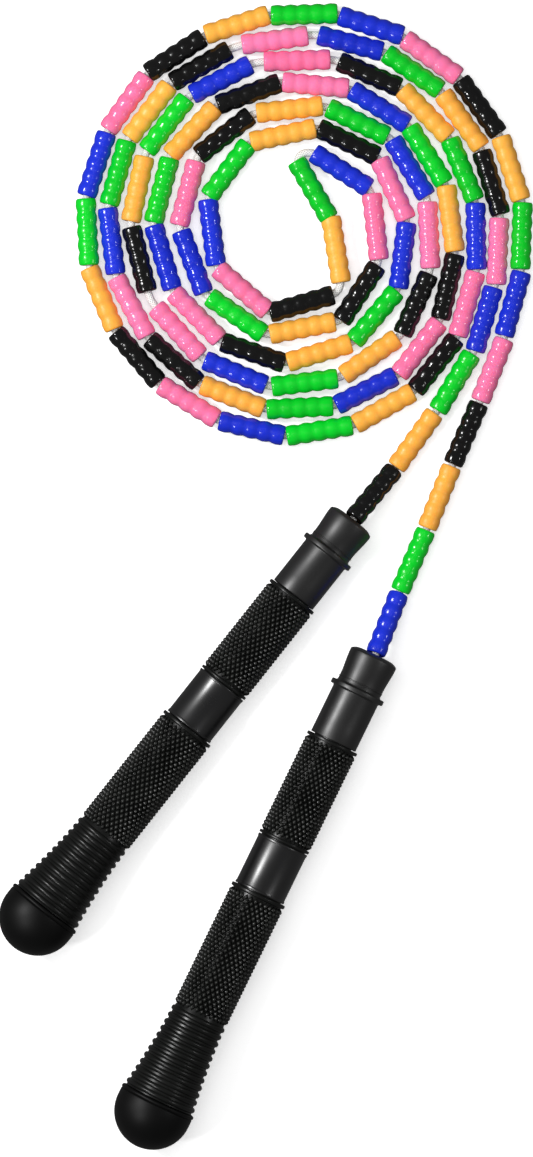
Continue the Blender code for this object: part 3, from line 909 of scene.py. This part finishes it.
# Each line is one sum: the name of its result, what is done, and the two values it takes
for result, operation, first, second in (
    ("rows_done", "DIVIDE", "index", "Studs Round"),
    ("row", "FLOOR", "rows_done", 0.0),
    ("step_round", "DIVIDE", math.tau, "Studs Round"),
    ("odd_row", "MODULO", "row", 2.0),
    ("half_step", "MULTIPLY", "odd_row", 0.5),
    ("place_in_row", "MODULO", "index", "Studs Round"),
    ("steps_round", "ADD", "place_in_row", "half_step"),
    ("turn", "MULTIPLY", "steps_round", "step_round"),
    ("row_above_start", "ADD", "row", 1.0),
    ("along", "MULTIPLY", "row_above_start", "Row Spacing"),
    ("station", "ADD", "Start", "along"),
    ("across", "COSINE", "turn", 0.0),
    ("up", "SINE", "turn", 0.0),
    ("count", "MULTIPLY", "Rows", "Studs Round"),
    ("half_angle", "MULTIPLY", "step_round", 0.5),
    ("tip_radius", "ADD", "Root Radius", "Height"),
    ("width", "MULTIPLY", "half_angle", "tip_radius"),
):
    values = {0: worked.get(first, first), 1: worked.get(second, second)}
    worked[result] = add_node(tree, "ShaderNodeMath", values, operation=operation).outputs[0]
outward = add_node(tree, "ShaderNodeCombineXYZ", {"X": worked["across"], "Y": worked["up"]})
foot = add_node(
    tree, "ShaderNodeVectorMath", {0: outward.outputs[0], "Scale": given["Root Radius"]}, operation="SCALE"
)
lift = add_node(tree, "ShaderNodeCombineXYZ", {"Z": worked["station"]})
place = add_node(tree, "ShaderNodeVectorMath", {0: foot.outputs[0], 1: lift.outputs[0]}, operation="ADD")
spots = add_node(
    tree,
    "GeometryNodePoints",
    {"Count": worked["count"], "Position": place.outputs[0]},
)
stand = add_node(
    tree,
    "FunctionNodeAxesToRotation",
    {"Primary Axis": outward.outputs[0], "Secondary Axis": (0.0, 0.0, 1.0)},
    primary_axis="X",
    secondary_axis="Z",
)
size = add_node(
    tree, "ShaderNodeCombineXYZ", {"X": given["Height"], "Y": worked["width"], "Z": given["Row Spacing"]}
)
one_stud = add_node(tree, "GeometryNodeObjectInfo", {"Object": given["Stud"]})
studded = add_node(
    tree,
    "GeometryNodeInstanceOnPoints",
    {
        "Points": spots.outputs[0],
        "Instance": one_stud.outputs["Geometry"],
        "Rotation": stand.outputs["Rotation"],
        "Scale": size.outputs[0],
    },
)
finish_tree(tree, studded.outputs["Instances"], given["Material"])

stud_pattern = add_object("stud", stud_mesh())
for side in ("left", "right"):
    zones = (
        ("upper", KNURL_START + 1.4, BAND_START - 1.3, KNURL_ROOT, STUDS_ROUND),
        ("lower", LOWER_START + 0.2, FLARE_START - 0.4, LOWER_ROOT, STUDS_ROUND + 1),
    )
    for zone, start, end, root, studs_round in zones:
        rows = round((end - start) / (KNURL_PITCH / 2)) - 1
        empty = bpy.data.meshes.new("knurl_seed")
        piece = grow(
            f"{side}_{zone}_knurl",
            empty,
            tree,
            {
                "Stud": stud_pattern,
                "Start": start * MM,
                "Rows": rows,
                "Studs Round": studs_round,
                "Root Radius": root * MM,
                "Row Spacing": (end - start) / (rows + 1) * MM,
                "Height": STUD_HEIGHT * MM,
                "Material": stud_nylon,
            },
        )
        fit_to_handle(piece, side, "grip_plastic")
bpy.data.objects.remove(stud_pattern)

# ---------------------------------------------------------------------------------------------------------
# The ribs: twelve rounded rings moulded round the flare, 2.9 mm apart, each a little wider than the last.
RIB_COUNT = 12
RIB_PITCH = 2.93
RIB_WIDTH = 2.3
RIB_SIDES = 14

tree, given = new_tree(
    "ribs",
    {"Count": "Int", "Start": "Float", "Pitch": "Float", "Narrow Radius": "Float", "Wide Radius": "Float",
     "Rib Width": "Float", "Material": "Material"},
)
worked = {"index": add_node(tree, "GeometryNodeInputIndex").outputs["Index"], **{s.name: s for s in given}}
for result, operation, first, second in (
    ("middle", "ADD", "index", 0.5),
    ("share", "DIVIDE", "middle", "Count"),
    ("widening", "POWER", "share", FLARE_CURVE),
    ("range", "SUBTRACT", "Wide Radius", "Narrow Radius"),
    ("growth", "MULTIPLY", "widening", "range"),
    ("radius", "ADD", "Narrow Radius", "growth"),
    ("along", "MULTIPLY", "Pitch", "middle"),
    ("station", "ADD", "Start", "along"),
    ("section", "MULTIPLY", "Rib Width", 0.5),
):
    values = {0: worked.get(first, first), 1: worked.get(second, second)}
    worked[result] = add_node(tree, "ShaderNodeMath", values, operation=operation).outputs[0]
place = add_node(tree, "ShaderNodeCombineXYZ", {"Z": worked["station"]})
stretch = add_node(tree, "ShaderNodeCombineXYZ", {axis: worked["radius"] for axis in "XYZ"})
spots = add_node(tree, "GeometryNodePoints", {"Count": given["Count"], "Position": place.outputs[0]})
hoop = add_node(tree, "GeometryNodeCurvePrimitiveCircle", {"Resolution": ROUND, "Radius": 1.0})
hoops = add_node(
    tree,
    "GeometryNodeInstanceOnPoints",
    {
        "Points": spots.outputs[0],
        "Instance": hoop.outputs["Curve"],
        "Scale": stretch.outputs[0],
    },
)
real_hoops = add_node(tree, "GeometryNodeRealizeInstances", {"Geometry": hoops.outputs["Instances"]})
section = add_node(
    tree,
    "GeometryNodeCurvePrimitiveCircle",
    {"Resolution": RIB_SIDES, "Radius": worked["section"]},
)
ribs = add_node(
    tree,
    "GeometryNodeCurveToMesh",
    {"Curve": real_hoops.outputs["Geometry"], "Profile Curve": section.outputs["Curve"]},
)
finish_tree(tree, ribs.outputs["Mesh"], given["Material"])
for side in ("left", "right"):
    piece = grow(
        side + "_ribs",
        bpy.data.meshes.new("ribs_seed"),
        tree,
        {
            "Count": RIB_COUNT,
            "Start": FLARE_START * MM,
            "Pitch": RIB_PITCH * MM,
            "Narrow Radius": (LOWER_RADIUS - RIB_WIDTH / 2) * MM,
            "Wide Radius": (FLARE_END - RIB_WIDTH / 2) * MM,
            "Rib Width": RIB_WIDTH * MM,
            "Material": moulded_nylon,
        },
    )
    fit_to_handle(piece, side, "grip_plastic")

# ---------------------------------------------------------------------------------------------------------
# The smooth band: a thin sleeve of glossy black polycarbonate, snapped into the recess between the knurls,
# with a fine bead round each end. It is left blank.
BAND_RADIUS = 10.2
BAND_WALL = 0.8
BAND_SIDES = 96


def band_profile():
    start, end, inner = BAND_START + SEAM, BAND_END - SEAM, BAND_RADIUS - BAND_WALL
    profile = [(start, inner)]
    profile += round_corner(start + 0.3, BAND_RADIUS - 0.3, 0.3, 180, 90, 4)
    profile += round_corner(start + 0.8, BAND_RADIUS - 0.3, 0.3, 90, 30, 3)
    profile += [(start + 1.3, BAND_RADIUS - 0.2), (end - 1.3, BAND_RADIUS - 0.2)]
    profile += round_corner(end - 0.8, BAND_RADIUS - 0.3, 0.3, 150, 90, 3)
    profile += round_corner(end - 0.3, BAND_RADIUS - 0.3, 0.3, 90, 0, 4)
    return profile + [(end, inner)]


# Polished polycarbonate: smooth, so it shines in long grey stripes, and a little duller in patches of wear
gloss = black_plastic(
    "gloss_black_polycarbonate", "#09090a", "#0d0d0e", 0.31, 0.25, 0.004, Specular_IOR_Level=0.95
)
for side in ("left", "right"):
    piece = add_object(side + "_band", lathe(side + "_band", band_profile(), BAND_SIDES, gloss))
    fit_to_handle(piece, side, "band_plastic", side + "_smooth_band")

# ---------------------------------------------------------------------------------------------------------
# The pommel: a domed cap of dull black rubber with a rolled rim, plugged into the wide end of the grip.
RIM_START = 186.8
RIM_WIDTH = 1.6
RIM_RADIUS = 15.0
DOME_RADIUS = 14.8
DOME_NECK = 3.1


def pommel_profile():
    plug_start = FLARE_START + FLARE_LENGTH - SPIGOT_LENGTH
    dome = RIM_START + RIM_WIDTH + DOME_NECK
    cavity_end = dome + DOME_RADIUS / 2
    profile = [(cavity_end, 0.0), (cavity_end, CAVITY_RADIUS), (plug_start, CAVITY_RADIUS)]
    profile += [(plug_start, SPIGOT_RADIUS), (RIM_START, SPIGOT_RADIUS), (RIM_START, RIM_RADIUS - 0.8)]
    profile += round_corner(RIM_START + 0.8, RIM_RADIUS - 0.8, 0.8, 150, 20, 8)
    profile += [(RIM_START + RIM_WIDTH + 0.1, DOME_RADIUS - 0.12), (RIM_START + RIM_WIDTH + 0.5, DOME_RADIUS)]
    profile += round_corner(dome, 0.0, DOME_RADIUS, 90, 0, 24)[:-1]
    return profile + [(dome + DOME_RADIUS, 0.0)]


# Dull rubber: no mirror shine, a soft grey edge where light grazes it, and a slightly powdery bloom
rubber = black_plastic("dull_black_rubber", "#030303", "#050505", 0.48, 0.8, 0.03, Specular_IOR_Level=0.22)
for side in ("left", "right"):
    piece = add_object(side + "_pommel", lathe(side + "_pommel", pommel_profile(), ROUND, rubber))
    fit_to_handle(piece, side, "pommel_rubber", side + "_pommel_cap")

# ---------------------------------------------------------------------------------------------------------
# Inside each nose: a turned brass eyelet in which the cord turns, a stamped steel washer, and the knot that
# pulls against it. The washer and the knot belong to the cord, and stay still when the handle turns.
EYELET_START = 1.8
EYELET_BORE = 2.1
HEAD_START = 7.3
HEAD_THICKNESS = 1.0
WASHER_START = 8.6
WASHER_THICKNESS = 1.5
WASHER_RADIUS = 5.5
WASHER_HOLE = 1.9
KNOT_LENGTH = 8.0
KNOT_STEPS = 72
KNOT_SIDES = 12
KNOT_SPREAD = 1.03  # the trefoil's scale across the cord
KNOT_DEPTH = 2.4  # and along it
METAL_SIDES = 40


def ring_profile(start, end, inner, outer, edge=0.2):
    """A ring's section with eased outer edges."""
    return [
        (start, inner), (start, outer - edge), (start + edge, outer),
        (end - edge, outer), (end, outer - edge), (end, inner),
    ]


def turned_metal(name, colour, roughness):
    """A metal turned or stamped: bright, with fine rings or scratches in it."""
    material, nodes, shader = new_material(name, colour, roughness, Metallic=1.0)
    where = add_node(nodes, "ShaderNodeTexCoord").outputs["Object"]
    scratches = add_node(nodes, "ShaderNodeTexNoise", {"Vector": where, "Scale": 1500.0, "Detail": 3.0})
    worn = add_node(
        nodes,
        "ShaderNodeMapRange",
        {"Value": scratches.outputs["Fac"], "To Min": roughness - 0.1, "To Max": roughness + 0.15},
    )
    nodes.links.new(worn.outputs["Result"], shader.inputs["Roughness"])
    return material


brass = turned_metal("turned_brass", "#d8b45a", 0.25)
steel = turned_metal("stamped_zinc_steel", "#c9cbce", 0.3)


def knot_mesh(name, material):
    """An overhand knot pulled tight: a round strand along a small trefoil, squeezed in behind the washer."""
    centre = []
    for step in range(KNOT_STEPS):
        t = math.tau * step / KNOT_STEPS
        across = math.sin(t) + 2 * math.sin(2 * t)
        centre.append(Vector((across, math.cos(t) - 2 * math.cos(2 * t), -math.sin(3 * t))))
    shape = bmesh.new()
    rings = []
    for k, point in enumerate(centre):
        ahead = (centre[(k + 1) % KNOT_STEPS] - centre[k - 1]).normalized()
        side_way = ahead.cross(Vector((0, 0, 1))).normalized()
        up = side_way.cross(ahead)
        middle = Vector((point.x * KNOT_SPREAD, point.y * KNOT_SPREAD, point.z * KNOT_DEPTH))
        rings.append([
            shape.verts.new((middle + (side_way * math.cos(a) + up * math.sin(a)) * CORD_DIAMETER / 2) * MM)
            for a in [math.tau * j / KNOT_SIDES for j in range(KNOT_SIDES)]
        ])
    for k, here in enumerate(rings):
        there = rings[(k + 1) % KNOT_STEPS]
        for j in range(KNOT_SIDES):
            beside = (j + 1) % KNOT_SIDES
            shape.faces.new((here[j], here[beside], there[beside], there[j]))
    bmesh.ops.recalc_face_normals(shape, faces=shape.faces)
    mesh = bpy.data.meshes.new(name)
    shape.to_mesh(mesh)
    shape.free()
    mesh.transform(Matrix.Translation((0, 0, (KNOT_START + KNOT_LENGTH / 2) * MM)))
    mesh.materials.append(material)
    mesh.shade_smooth()
    return mesh


for side in ("left", "right"):
    eyelet_profile = [
        (EYELET_START, EYELET_BORE), (EYELET_START, BUSHING_RADIUS), (HEAD_START, BUSHING_RADIUS),
        (HEAD_START, WASHER_RADIUS - 0.2), (HEAD_START + 0.2, WASHER_RADIUS),
        (HEAD_START + HEAD_THICKNESS, WASHER_RADIUS), (HEAD_START + HEAD_THICKNESS, EYELET_BORE),
    ]
    eyelet = add_object(side + "_eyelet", lathe(side + "_eyelet", eyelet_profile, METAL_SIDES, brass))
    fit_to_handle(eyelet, side, "bushing_brass", side + "_cord_bushing")
    washer_end = WASHER_START + WASHER_THICKNESS - 0.1
    washer_profile = ring_profile(WASHER_START, washer_end, WASHER_HOLE, WASHER_RADIUS)
    washer = add_object(side + "_washer", lathe(side + "_washer", washer_profile, METAL_SIDES, steel))
    washer.data.transform(handle_matrix(side))
    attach(washer, "rope")
    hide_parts(side + "_stop_washer")
    knot = add_object(side + "_knot", knot_mesh(side + "_knot", cord_white))
    knot.data.transform(handle_matrix(side))
    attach(knot, "rope")
    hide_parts(side + "_cord_stop")
    on_cord += [washer, knot]

# ---------------------------------------------------------------------------------------------------------
# The tip of the left handle's nose.
tip, _ = handle_place("left")
